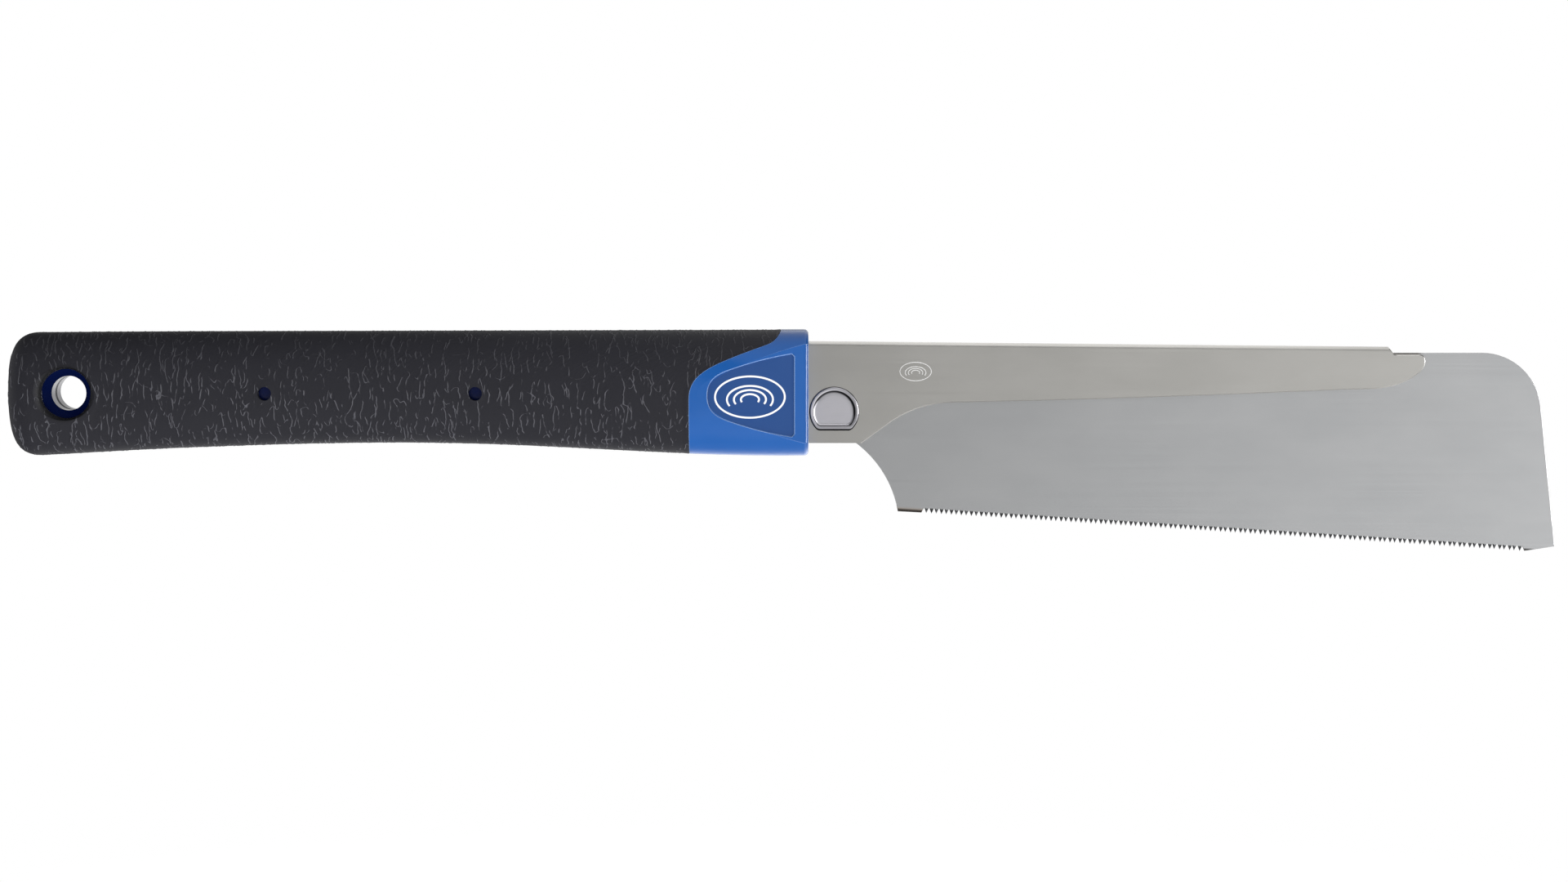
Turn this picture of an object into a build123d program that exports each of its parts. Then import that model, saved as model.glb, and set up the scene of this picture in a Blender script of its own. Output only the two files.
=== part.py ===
from build123d import *
from math import copysign, cos, pi, radians, sin, sqrt
import os

# A Japanese-style pull saw with a stiff folded back and a hooked, replaceable blade.
# Millimetres. The origin is the middle of the hang hole; +X runs to the toe, +Z is up and
# the teeth point down. Y runs through the saw, which is symmetrical about Y = 0.

# ---------------------------------------------------------------- handle dimensions
butt_reach = 15.0          # butt end, behind the hang hole
butt_bulge_radius = 95.0   # gentle bulge of the butt end, seen from the side
butt_corner = 5.2          # rounding all round the butt end
collar_front = 183.5       # front face of the collar
collar_round = 1.1         # rounding of the collar's front rim
section_power = 2.5        # 2 gives an elliptical section, larger is squarer
section_point_count = 20
cover_wall = 2.6           # elastomer over the core
core_start = -11.0         # rear end of the core, inside the cover
core_front = 178.0         # the core is reduced under the cover as far as here
beyond = 20.0              # further out than any surface of the handle

# Handle stations: place along X, top, bottom, half width
handle_stations = [
    (-23.4, 15.05, -15.50, 10.50),
    (-1.4, 15.15, -15.45, 10.60),
    (18.6, 15.28, -14.35, 10.35),
    (48.6, 15.38, -13.20, 9.85),
    (79.6, 15.45, -12.65, 9.55),
    (108.6, 15.52, -13.20, 9.90),
    (133.6, 15.58, -14.40, 10.55),
    (156.6, 15.65, -15.45, 10.95),
    (188.6, 15.72, -15.60, 11.10),
]

# Flat sides of the collar: place along X and half width, from where they begin to draw in
draw_in_start = (155.6, 10.95)
draw_in_middle = (171.6, 9.85)
draw_in_front = (collar_front, 7.90)

# Seam between elastomer and collar, from low on the side up over the top, as (x, z)
seam_foot = (153.9, -1.5)
seam_shoulder = (173.2, 12.1)
seam_top = (176.8, 15.9)
seam_flow = (1, 0.36)      # direction of the seam where its two curves meet

panel_depth = 0.45
panel_front = 180.0
panel_nose = 158.4
panel_middle_z = -0.45
panel_half_height = 10.3
panel_corner = 0.7

hang_bore_radius = 4.3
hang_bore_length = 10.0
hang_mouth_radius = 6.1
hang_mouth_round = 1.8
hang_funnel_depth = 3.5    # below the skin, where the funnel meets its straight mouth
locating_hole_radius = 1.7
locating_hole_places = [49.2, 101.2]

# ---------------------------------------------------------------- steel dimensions
sheet = 0.8                # sheet of the folded back
slot_width = 0.6
back_thickness = 2 * sheet + slot_width
fold_top_rear = 12.76      # top of the fold at the collar
fold_slope = -0.0098       # fall of the fold towards the toe
fold_end = 328.2
fold_round = 1.05
back_bottom = -12.65
cheek_top = 9.40           # top of the cheeks in front of the fold
cheek_bevel = 0.25

# Lower edge of the cheeks, from the collar to the nose, as (x, z)
neck_front = (196.8, back_bottom)
scoop_start = (202.9, -8.25)
scoop_middle = (209.8, -4.35)
scoop_end = (219.6, -2.55)
edge_middle = (268.6, -1.25)
edge_end = (316.6, 0.65)
nose_points = [(327.2, 1.15), (333.1, 3.1), (337.25, 7.9)]
nose_top = (335.8, cheek_top)
fold_foot = (fold_end + 1.8, cheek_top)

tang_end = 110.6
tang_neck = 166.6          # in front of this the tang is as high as the back
tang_shoulder = 174.6
tang_half_height = 7.5
socket_gap = 0.05

pin_x = 189.93
pin_z = -4.82
pin_radius = 5.0
pin_flat = 3.16            # flat of the D, below the pin's centre
pin_corner = 1.0
flange_radius = 6.1
flange_flat = 4.4
flange_corner = 1.4
flange_height = 0.30       # the flange stands proud of the cheek
flange_bevel = 0.12
face_recess = 0.22         # dish inside the flange

blade_thickness = 0.5
blade_top = 9.86
hook_radius = 7.6
hook_clearance = 0.06
mouth_clearance = 0.12
release_angle = 30.0       # swing at which the mouth lines up with the narrow way of the D
tooth_pitch = 1.25
tooth_count = 120
tooth_depth = 1.30
tooth_slope = -3.65        # degrees, down towards the toe
tooth_gap = 0.12           # flat at the bottom of each gullet
first_tip = (213.00, -30.30)
heel_top = (194.95, -12.35)
heel_middle = (202.1, -20.0)
heel_bottom = (205.87, -29.80)
heel_land_rise = 0.10      # the lands stand this far inside the line of tooth tips
toe_land_rise = 0.15
toe_land_front = (363.6, -39.60)
toe_bottom = (370.20, -38.60)
toe_top = (364.80, blade_top)
toe_corner_radius = 15.0

rivet_radius = 1.5
rivet_places = [172.6, 116.6]
cross_pin_radius = 2.0
cross_pin_length = 15.4
cross_pin_places = [146.6, 126.6]
cross_pin_bevel = 0.3
pin_fit = 0.02
spacer_front = 181.5
spacer_gap = 0.3           # spacer clear of the inside of the fold
spacer_rise = 0.4          # spacer clear of the back's lower edge


# ---------------------------------------------------------------- shared shapes
def fold_top(x):
    """Height of the fold's outer crown at a place along the back."""
    return fold_top_rear + fold_slope * (x - collar_front)


def section_points(top, bottom, half_width, inset):
    """Points round a superellipse section, as (y, z)."""
    middle = (top + bottom) / 2
    half_height = (top - bottom) / 2 - inset
    half_breadth = half_width - inset
    power = 2 / section_power
    points = []
    for index in range(section_point_count):
        angle = 2 * pi * index / section_point_count
        across = copysign(abs(cos(angle)) ** power, cos(angle))
        up = copysign(abs(sin(angle)) ** power, sin(angle))
        points.append((half_breadth * across, middle + half_height * up))
    return points


def handle_loft(inset):
    """Handle form through every station, drawn in by an even inset."""
    with BuildPart() as form:
        for place, top, bottom, half_width in handle_stations:
            with BuildSketch(Plane.YZ.offset(place)):
                with BuildLine():
                    Spline(section_points(top, bottom, half_width, inset), periodic=True)
                make_face()
        loft()
    return form.part


def length_limit(rear, front):
    """Slab that trims a handle form to length, with a bulged rear end."""
    sag = butt_bulge_radius - sqrt(butt_bulge_radius ** 2 - beyond ** 2)
    with BuildPart() as limit:
        with BuildSketch(Plane.XZ):
            with BuildLine():
                ThreePointArc((rear + sag, beyond), (rear, 0), (rear + sag, -beyond))
                Line((rear + sag, -beyond), (front, -beyond))
                Line((front, -beyond), (front, beyond))
                Line((front, beyond), (rear + sag, beyond))
            make_face()
        extrude(amount=beyond, both=True)
    return limit.part


def side_limit(draw_in):
    """Plan of the handle with its flat sides drawn in towards the collar's front."""
    start, middle, front = [(x, half - draw_in) for x, half in (draw_in_start, draw_in_middle, draw_in_front)]
    with BuildPart() as plan:
        with BuildSketch(Plane.XY):
            with BuildLine():
                ThreePointArc(start, middle, front)
                Polyline(front, (front[0], 0), (-beyond, 0), (-beyond, beyond), (start[0], beyond), start)
            make_face()
            mirror(about=Plane.XZ)
        extrude(amount=beyond, both=True)
    return plan.part


def round_bars(radius, places, length):
    """Round bars across the saw at places along X, at the height of the origin."""
    with BuildPart() as bars:
        with BuildSketch(Plane.XZ):
            with Locations(*[(place, 0) for place in places]):
                Circle(radius)
        extrude(amount=length / 2, both=True)
    return bars.part


def tang_outline(gap):
    """Side view of the tang's socket, grown by a gap and open at the collar's front."""
    low = back_bottom - gap
    half = tang_half_height + gap
    with BuildSketch() as outline:
        with BuildLine():
            Polyline(
                (tang_end - 0.5, -half),
                (tang_neck - gap, -half),
                (tang_shoulder - gap, low),
                (collar_front + 1, low),
                (collar_front + 1, fold_top(collar_front) + gap),
                (tang_shoulder - gap, fold_top(tang_shoulder) + gap),
                (tang_neck - gap, half),
                (tang_end - 0.5, half),
                close=True,
            )
        make_face()
    return outline.sketch


def pin_section(radius, flat, corner):
    """D-shaped section with its flat below, at the hook pin."""
    with BuildSketch() as section:
        Circle(radius)
        with Locations((0, -flat)):
            Rectangle(3 * radius, 2 * radius, align=(Align.CENTER, Align.MAX), mode=Mode.SUBTRACT)
        fillet(section.vertices(), radius=corner)
    return Location((pin_x, pin_z)) * section.sketch


def hook_mouth():
    """Way into the hook, towards -X, just wider than the D's narrow way."""
    low = -pin_flat - mouth_clearance
    high = pin_radius + hook_clearance
    with BuildSketch() as way:
        with Locations((0, low)):
            Rectangle(2 * hook_radius, high - low, align=(Align.MAX, Align.MIN))
    return way.sketch


# Handle form, with the butt rounded and the collar's sides flattened
with BuildPart() as handle_form:
    add(handle_loft(0))
    add(length_limit(-butt_reach, collar_front), mode=Mode.INTERSECT)
    fillet(handle_form.faces().sort_by(Axis.X)[0].edges(), radius=butt_corner)
    add(side_limit(0), mode=Mode.INTERSECT)
    fillet(handle_form.faces().sort_by(Axis.X)[-1].edges(), radius=collar_round)

# The same form one cover wall further in, which is the core under the elastomer
with BuildPart() as inner_form:
    add(handle_loft(cover_wall))
    add(length_limit(core_start, core_front), mode=Mode.INTERSECT)

# Region in front of the seam where the elastomer meets the collar
with BuildPart() as collar_region:
    with BuildSketch(Plane.XZ):
        with BuildLine():
            Line((seam_foot[0], -beyond), seam_foot)
            Spline(seam_foot, (156.6, 4.7), (163.3, 8.4), seam_shoulder, tangents=[(0, 1), seam_flow])
            Spline(seam_shoulder, (175.5, 13.6), seam_top, tangents=[seam_flow, (0.35, 1)])
            Polyline(
                seam_top,
                (seam_top[0] + 1.4, beyond),
                (collar_front + beyond, beyond),
                (collar_front + beyond, -beyond),
                (seam_foot[0], -beyond),
            )
        make_face()
    extrude(amount=beyond, both=True)

# Pointed panel on each side of the collar, as a cutter that leaves the middle alone
with BuildPart() as panel_cutter:
    upper_z = panel_middle_z + panel_half_height
    with BuildSketch(Plane.XZ):
        with BuildLine():
            Spline(
                (panel_nose, panel_middle_z),
                (164.3, panel_middle_z + 6.5),
                (panel_front - panel_corner, upper_z),
                tangents=[(0, 1), (1, 0.16)],
            )
            Polyline(
                (panel_front - panel_corner, upper_z),
                (panel_front, upper_z - panel_corner),
                (panel_front, panel_middle_z),
                (panel_nose, panel_middle_z),
            )
        make_face()
        mirror(about=Plane.XZ.offset(-panel_middle_z))
    extrude(amount=beyond, both=True)
    add(side_limit(panel_depth), mode=Mode.SUBTRACT)

# Trumpet mouth and funnel of the hang hole, turned about the hole's axis
with BuildPart() as hang_cutter:
    mouth_y = handle_stations[1][3]
    mouth_outer = hang_mouth_radius + hang_mouth_round
    with BuildSketch(Plane.XY):
        with BuildLine():
            Polyline(
                (0, 0),
                (hang_bore_radius, 0),
                (hang_bore_radius, hang_bore_length / 2),
                (hang_mouth_radius, mouth_y - hang_funnel_depth),
                (hang_mouth_radius, mouth_y - hang_mouth_round),
            )
            RadiusArc(
                (hang_mouth_radius, mouth_y - hang_mouth_round),
                (mouth_outer, mouth_y),
                hang_mouth_round,
            )
            Polyline((mouth_outer, mouth_y), (mouth_outer, beyond), (0, beyond), (0, 0))
        make_face()
    revolve(axis=Axis.Y)
    mirror(about=Plane.XZ)

# ---------------------------------------------------------------- handle core
with BuildPart() as handle_core:
    add(handle_form.part)
    add(collar_region.part, mode=Mode.INTERSECT)
    add(panel_cutter.part, mode=Mode.SUBTRACT)
    add(inner_form.part)
    add(hang_cutter.part, mode=Mode.SUBTRACT)
    with BuildSketch(Plane.XZ):
        add(tang_outline(socket_gap))
    extrude(amount=back_thickness / 2 + socket_gap, both=True, mode=Mode.SUBTRACT)
    add(round_bars(cross_pin_radius, cross_pin_places, 2 * beyond), mode=Mode.SUBTRACT)

# ---------------------------------------------------------------- grip cover
with BuildPart() as grip_cover:
    add(handle_form.part)
    add(collar_region.part, mode=Mode.SUBTRACT)
    add(inner_form.part, mode=Mode.SUBTRACT)
    add(hang_cutter.part, mode=Mode.SUBTRACT)
    add(round_bars(locating_hole_radius, locating_hole_places, 2 * beyond), mode=Mode.SUBTRACT)

# ---------------------------------------------------------------- folded back
with BuildPart() as folded_back:
    with BuildSketch(Plane.XZ):
        with BuildLine():
            Polyline(
                (tang_end, tang_half_height),
                (tang_end, -tang_half_height),
                (tang_neck, -tang_half_height),
                (tang_shoulder, back_bottom),
                neck_front,
                scoop_start,
            )
            ThreePointArc(scoop_start, scoop_middle, scoop_end)
            ThreePointArc(scoop_end, edge_middle, edge_end)
            Spline(edge_end, *nose_points, nose_top, tangents=[(1, 0.04), (-1, 0)])
            Line(nose_top, fold_foot)
            Spline(
                fold_foot,
                (fold_end + 0.8, cheek_top + 0.7),
                (fold_end, fold_top(fold_end)),
                tangents=[(-1, 0.1), (-0.3, 1)],
            )
            Polyline(
                (fold_end, fold_top(fold_end)),
                (tang_shoulder, fold_top(tang_shoulder)),
                (tang_neck, tang_half_height),
                (tang_end, tang_half_height),
            )
        make_face()
    extrude(amount=back_thickness / 2, both=True)
    crown = folded_back.faces().filter_by(lambda face: face.normal_at().Z > 0.99 and face.center().Z > 11)
    fillet(crown.edges().filter_by(lambda edge: edge.length > 100), radius=fold_round)
    side_edges = folded_back.faces().filter_by(Axis.Y).edges()
    front_edges = side_edges.filter_by(lambda edge: edge.center().X > neck_front[0])
    chamfer(front_edges.filter_by(lambda edge: edge.center().Z < cheek_top + 0.1), length=cheek_bevel)
    with BuildSketch(Plane.XZ):
        with BuildLine():
            Polyline(
                (tang_end - 1, -beyond),
                (nose_top[0] + beyond, -beyond),
                (nose_top[0] + beyond, fold_top(nose_top[0] + beyond) - sheet),
                (tang_shoulder + 1, fold_top(tang_shoulder) - sheet),
                (tang_neck, tang_half_height + 5),
                (tang_end - 1, tang_half_height + 5),
                close=True,
            )
        make_face()
    extrude(amount=slot_width / 2, both=True, mode=Mode.SUBTRACT)
    with BuildSketch(Plane.XZ):
        add(pin_section(pin_radius, pin_flat, pin_corner))
    extrude(amount=back_thickness, both=True, mode=Mode.SUBTRACT)
    add(round_bars(rivet_radius, rivet_places, beyond), mode=Mode.SUBTRACT)
    add(round_bars(cross_pin_radius, cross_pin_places, beyond), mode=Mode.SUBTRACT)

# ---------------------------------------------------------------- hook pin
with BuildPart() as hook_pin:
    with BuildSketch(Plane.XZ):
        add(pin_section(pin_radius, pin_flat, pin_corner))
    extrude(amount=back_thickness / 2, both=True)
    with BuildSketch(Plane.XZ.offset(back_thickness / 2)):
        add(pin_section(flange_radius, flange_flat, flange_corner))
    extrude(amount=flange_height)
    chamfer(hook_pin.faces().sort_by(Axis.Y)[0].edges(), length=flange_bevel)
    with BuildSketch(Plane.XZ.offset(back_thickness / 2 + flange_height)):
        add(pin_section(pin_radius, pin_flat, pin_corner))
    extrude(amount=-face_recess, mode=Mode.SUBTRACT)
    split(bisect_by=Plane.XZ, keep=Keep.TOP)
    mirror(about=Plane.XZ)

# ---------------------------------------------------------------- tang spacer and pins
with BuildPart() as tang_spacer:
    spacer_top = fold_top(tang_shoulder) - sheet - spacer_gap
    spacer_bottom = back_bottom + spacer_rise
    with BuildSketch(Plane.XZ):
        with BuildLine():
            Polyline(
                (tang_end, -tang_half_height),
                (tang_neck, -tang_half_height),
                (tang_shoulder, spacer_bottom),
                (spacer_front, spacer_bottom),
                (spacer_front, spacer_top),
                (tang_shoulder + 1, spacer_top),
                (tang_neck, tang_half_height),
                (tang_end, tang_half_height),
                close=True,
            )
        make_face()
    extrude(amount=slot_width / 2, both=True)
    add(round_bars(rivet_radius, rivet_places, beyond), mode=Mode.SUBTRACT)
    add(round_bars(cross_pin_radius, cross_pin_places, beyond), mode=Mode.SUBTRACT)

with BuildPart() as tang_rivets:
    add(round_bars(rivet_radius - pin_fit, rivet_places, back_thickness))

with BuildPart() as tang_cross_pins:
    add(round_bars(cross_pin_radius - pin_fit, cross_pin_places, cross_pin_length))
    chamfer(tang_cross_pins.faces().filter_by(Axis.Y).edges(), length=cross_pin_bevel)


# ---------------------------------------------------------------- saw blade
def along_teeth(run, rise):
    """Point a run along the line of tooth tips and a rise into the blade."""
    slope = radians(tooth_slope)
    x = first_tip[0] + run * cos(slope) - rise * sin(slope)
    z = first_tip[1] + run * sin(slope) + rise * cos(slope)
    return (x, z)


def tooth_line():
    """Land, teeth and land, from heel to toe."""
    points = [heel_bottom, along_teeth(-tooth_pitch, heel_land_rise)]
    for tooth in range(tooth_count + 1):
        middle = (tooth - 0.5) * tooth_pitch
        points.append(along_teeth(middle - tooth_gap / 2, tooth_depth))
        points.append(along_teeth(middle + tooth_gap / 2, tooth_depth))
        if tooth < tooth_count:
            points.append(along_teeth(tooth * tooth_pitch, 0))
    points.append(along_teeth(tooth_count * tooth_pitch, toe_land_rise))
    return points + [toe_land_front, toe_bottom]


with BuildPart() as saw_blade:
    with BuildSketch(Plane.XZ) as profile:
        with BuildLine():
            ThreePointArc(heel_top, heel_middle, heel_bottom)
            Polyline(*tooth_line())
            Polyline(
                toe_bottom,
                toe_top,
                (pin_x + 3.5, blade_top),
                (pin_x - 1.5, pin_z + 7.0),
                (pin_x, heel_top[1]),
                heel_top,
            )
        make_face()
        fillet(profile.vertices().sort_by_distance(toe_top)[0], radius=toe_corner_radius)
        with Locations((pin_x, pin_z)):
            Circle(hook_radius)
            Circle(pin_radius + hook_clearance, mode=Mode.SUBTRACT)
        add(Location((pin_x, pin_z), release_angle) * hook_mouth(), mode=Mode.SUBTRACT)
    extrude(amount=blade_thickness / 2, both=True)

pieces = {
    "saw_blade": saw_blade,
    "folded_back": folded_back,
    "hook_pin": hook_pin,
    "tang_spacer": tang_spacer,
    "tang_rivets": tang_rivets,
    "tang_cross_pins": tang_cross_pins,
    "handle_core": handle_core,
    "grip_cover": grip_cover,
}
os.makedirs("parts", exist_ok=True)
for name, piece in pieces.items():
    piece.part.label = name
    export_step(piece.part, "parts/" + name + ".step")
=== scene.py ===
import math

import bmesh
import bpy
import numpy as np
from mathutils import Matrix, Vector
from mathutils.bvhtree import BVHTree


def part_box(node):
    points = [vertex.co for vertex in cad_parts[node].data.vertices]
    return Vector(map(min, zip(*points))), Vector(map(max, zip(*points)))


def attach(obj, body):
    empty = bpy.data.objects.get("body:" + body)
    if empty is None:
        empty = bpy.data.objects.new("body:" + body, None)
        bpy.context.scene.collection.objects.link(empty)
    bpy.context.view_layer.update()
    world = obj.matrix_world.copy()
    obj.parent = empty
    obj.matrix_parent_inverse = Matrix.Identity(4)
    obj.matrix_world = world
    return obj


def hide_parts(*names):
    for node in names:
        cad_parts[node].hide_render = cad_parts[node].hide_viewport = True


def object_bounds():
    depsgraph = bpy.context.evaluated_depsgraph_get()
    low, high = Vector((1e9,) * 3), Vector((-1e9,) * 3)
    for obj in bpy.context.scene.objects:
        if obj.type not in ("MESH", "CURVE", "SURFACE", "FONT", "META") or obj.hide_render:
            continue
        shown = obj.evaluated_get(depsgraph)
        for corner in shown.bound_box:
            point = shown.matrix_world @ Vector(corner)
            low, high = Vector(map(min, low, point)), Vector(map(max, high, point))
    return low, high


# Looks for a Japanese-style pull saw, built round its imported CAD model. Metres; +X runs to
# the toe, +Z is up, both sides of Y = 0 are alike but for the teeth, and the origin is the
# middle of the hang hole.

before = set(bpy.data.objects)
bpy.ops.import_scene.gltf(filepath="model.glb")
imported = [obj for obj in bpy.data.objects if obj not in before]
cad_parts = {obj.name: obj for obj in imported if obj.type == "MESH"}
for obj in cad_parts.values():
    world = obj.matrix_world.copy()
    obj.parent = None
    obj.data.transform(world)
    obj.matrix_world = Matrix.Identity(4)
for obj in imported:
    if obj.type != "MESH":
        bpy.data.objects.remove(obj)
cad_low, cad_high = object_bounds()
MM = 0.001

# ---------------------------------------------------------------- camera and floor
VIEW_DISTANCE = 0.80
VIEW_HEIGHT = 0.033          # of the camera above the hang hole
VIEW_WIDTH = 0.3918          # width that the camera sees at the saw's middle plane
AIM = Vector((0.1774, 0.0, -0.0122))
SENSOR = 36.0
FLOOR_DROP = 0.20            # of the floor below the hang hole
FLOOR_RADIUS = 0.55

# ---------------------------------------------------------------- grip
GRIP_COLUMNS = 92            # points round the section
GRIP_ROWS = 1000             # points from the butt to the seam
GRIP_STEP = 0.25 * MM        # spacing of the rays that read the surface
BUTT_CENTRE = -7.7 * MM      # rays over the butt start from this place on the axis
BUTT_RAYS = 60
RAY_START = 60 * MM
COVER_WALL = 2.3 * MM
LIP_RADIUS = 0.30 * MM       # rolled edge of the cover at the seam
LIP_STEPS = 5
INNER_ROW_STEP = 40          # every so many rows, the cover's inner surface has one
HANG_MOUTH = 6.1 * MM
HANG_FLARE = 1.9 * MM
LOCATING_RADIUS = 1.7 * MM
LOCATING_PLACES = (49.2 * MM, 101.2 * MM)
HOLES = [(0.0, HANG_MOUTH + HANG_FLARE)] + [(place, LOCATING_RADIUS) for place in LOCATING_PLACES]
HOLE_MARGIN = 0.4 * MM       # rays that land this near a hole's rim aren't used
GRAIN_MARGIN = 0.8 * MM      # the grain fades in over this much beside a hole
GRAIN_FADE_ROWS = 6          # and over this many rows at the seam
VEIN_HEIGHT = 0.085 * MM
VEIN_PROBE = 0.10 * MM       # step that measures how fast the noise changes along the saw
CLOSE_STROKES = (1.70, 7.5)  # spacing along the saw and reach round the grip, in mm
WIDE_STROKES = (2.6, 5.5)
WIDE_SEED = 0.31             # shifts the wide strokes away from the close ones


# ---------------------------------------------------------------- helpers
def mesh_object(name, points, faces, smooth=True):
    """A new object in the scene from points and faces."""
    mesh = bpy.data.meshes.new(name)
    mesh.from_pydata([tuple(point) for point in points], [], faces)
    mesh.validate()
    mesh.polygons.foreach_set("use_smooth", [smooth] * len(mesh.polygons))
    made = bpy.data.objects.new(name, mesh)
    bpy.context.scene.collection.objects.link(made)
    return made


def surface_tree(*objects):
    """Search tree over the faces of some objects, in the row frame."""
    points, faces = [], []
    for each in objects:
        start = len(points)
        points += [vertex.co.copy() for vertex in each.data.vertices]
        faces += [tuple(start + index for index in face.vertices) for face in each.data.polygons]
    return BVHTree.FromPolygons(points, faces)


def apply_modifiers(made):
    """Replaces an object's mesh with its evaluated one and drops its modifiers."""
    graph = bpy.context.evaluated_depsgraph_get()
    mesh = bpy.data.meshes.new_from_object(made.evaluated_get(graph))
    old = made.data
    made.modifiers.clear()
    made.data = mesh
    bpy.data.meshes.remove(old)


def sharpen(made, degrees):
    """Smooth shading, with edges sharper than an angle kept crisp."""
    mesh = made.data
    mesh.polygons.foreach_set("use_smooth", [True] * len(mesh.polygons))
    mesh.set_sharp_from_angle(angle=math.radians(degrees))


def add_node(tree, kind, settings=(), **inputs):
    """A node with its settings and inputs. An input is a value or another node's socket."""
    made = tree.nodes.new(kind)
    for key, value in dict(settings).items():
        setattr(made, key, value)
    for key, value in inputs.items():
        put(tree, made.inputs[key.replace("_", " ")], value)
    return made


def put(tree, socket, value):
    """Links or sets one input socket."""
    if isinstance(value, bpy.types.NodeSocket):
        tree.links.new(value, socket)
    else:
        socket.default_value = value


def maths(tree, operation, first, second=0.0, clamp=False):
    """Result of a Math node."""
    made = add_node(tree, "ShaderNodeMath", {"operation": operation, "use_clamp": clamp})
    put(tree, made.inputs[0], first)
    put(tree, made.inputs[1], second)
    return made.outputs[0]


def vector_maths(tree, operation, first, second=(0.0, 0.0, 0.0)):
    """Result of a Vector Math node."""
    made = add_node(tree, "ShaderNodeVectorMath", {"operation": operation})
    put(tree, made.inputs[0], first)
    put(tree, made.inputs[1], second)
    return made.outputs[0]


def ramp(tree, value, low, high, start=0.0, end=1.0):
    """Smooth step of a value, from start at low to end at high."""
    made = add_node(tree, "ShaderNodeMapRange", {"interpolation_type": "SMOOTHSTEP"}, Value=value)
    made.inputs["From Min"].default_value = low
    made.inputs["From Max"].default_value = high
    made.inputs["To Min"].default_value = start
    made.inputs["To Max"].default_value = end
    return made.outputs["Result"]


def mix(tree, factor, first, second):
    """Mix of two colours."""
    made = add_node(tree, "ShaderNodeMix", {"data_type": "RGBA"})
    put(tree, made.inputs[0], factor)
    put(tree, made.inputs[6], first)
    put(tree, made.inputs[7], second)
    return made.outputs[2]


def noise_at(tree, position, detail=2.0, roughness=0.5, output=0):
    """Noise texture at a position that is already scaled."""
    made = add_node(tree, "ShaderNodeTexNoise", Vector=position, Scale=1.0, Detail=detail)
    made.inputs["Roughness"].default_value = roughness
    return made.outputs[output]


def scaled(tree, position, x, y, z):
    """Position in cells of a size given in millimetres along each axis."""
    return vector_maths(tree, "MULTIPLY", position, (1000.0 / x, 1000.0 / y, 1000.0 / z))


def new_material(name):
    """Material with one Principled shader; returns the material, its tree, shader and position."""
    material = bpy.data.materials.new(name)
    material.use_nodes = True
    tree = material.node_tree
    shader = tree.nodes["Principled BSDF"]
    position = add_node(tree, "ShaderNodeTexCoord").outputs["Object"]
    return material, tree, shader, position


def bump(tree, height, distance, normal=None):
    """Bump from a height of 0 to 1 that stands a distance proud."""
    made = add_node(tree, "ShaderNodeBump", Height=height, Distance=distance, Strength=1.0)
    if normal is not None:
        put(tree, made.inputs["Normal"], normal)
    return made.outputs["Normal"]


def edge_mask(tree, radius):
    """About 1 along sharp edges and 0 elsewhere, from the turn of a rounded normal."""
    rounded = add_node(tree, "ShaderNodeBevel", {"samples": 6}, Radius=radius).outputs[0]
    plain = add_node(tree, "ShaderNodeNewGeometry").outputs["Normal"]
    made = add_node(tree, "ShaderNodeVectorMath", {"operation": "DOT_PRODUCT"})
    put(tree, made.inputs[0], rounded)
    put(tree, made.inputs[1], plain)
    return ramp(tree, made.outputs["Value"], 0.995, 0.86)


# ---------------------------------------------------------------- leather grain
def strokes(tree, position, cell, reach, seed):
    """Thin strokes that run round the grip, where a drawn-out noise crosses its middle value."""
    start = vector_maths(tree, "ADD", position, (seed, seed, seed))
    beside = vector_maths(tree, "ADD", start, (VEIN_PROBE, 0.0, 0.0))
    level = noise_at(tree, scaled(tree, start, cell, reach, reach), detail=0.0)
    further = noise_at(tree, scaled(tree, beside, cell, reach, reach), detail=0.0)
    slope = maths(tree, "ABSOLUTE", maths(tree, "SUBTRACT", further, level))
    away = maths(tree, "ABSOLUTE", maths(tree, "SUBTRACT", level, 0.5))
    probes_away = maths(tree, "DIVIDE", away, maths(tree, "MAXIMUM", slope, 0.004))
    return ramp(tree, probes_away, 1.7, 0.5)


def vein_height(tree, position):
    """Height from 0 to 1 of the raised veins of the grip's leather grain."""
    shift = noise_at(tree, scaled(tree, position, 3.4, 2.4, 2.4), detail=1.0, output=1)
    shift = vector_maths(tree, "SUBTRACT", shift, (0.5, 0.5, 0.5))
    shift = vector_maths(tree, "MULTIPLY", shift, (0.0013, 0.0010, 0.0010))
    bent = vector_maths(tree, "ADD", position, shift)
    close = strokes(tree, bent, *CLOSE_STROKES, 0.0)
    close_gaps = ramp(tree, noise_at(tree, scaled(tree, bent, 1.2, 2.6, 2.6), detail=1.0), 0.46, 0.56)
    wide = strokes(tree, bent, *WIDE_STROKES, WIDE_SEED)
    wide_gaps = ramp(tree, noise_at(tree, scaled(tree, bent, 1.6, 2.2, 2.2), detail=1.0), 0.50, 0.58)
    close = maths(tree, "MULTIPLY", close, close_gaps)
    wide = maths(tree, "MULTIPLY", wide, wide_gaps)
    return maths(tree, "MAXIMUM", close, wide)


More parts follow.
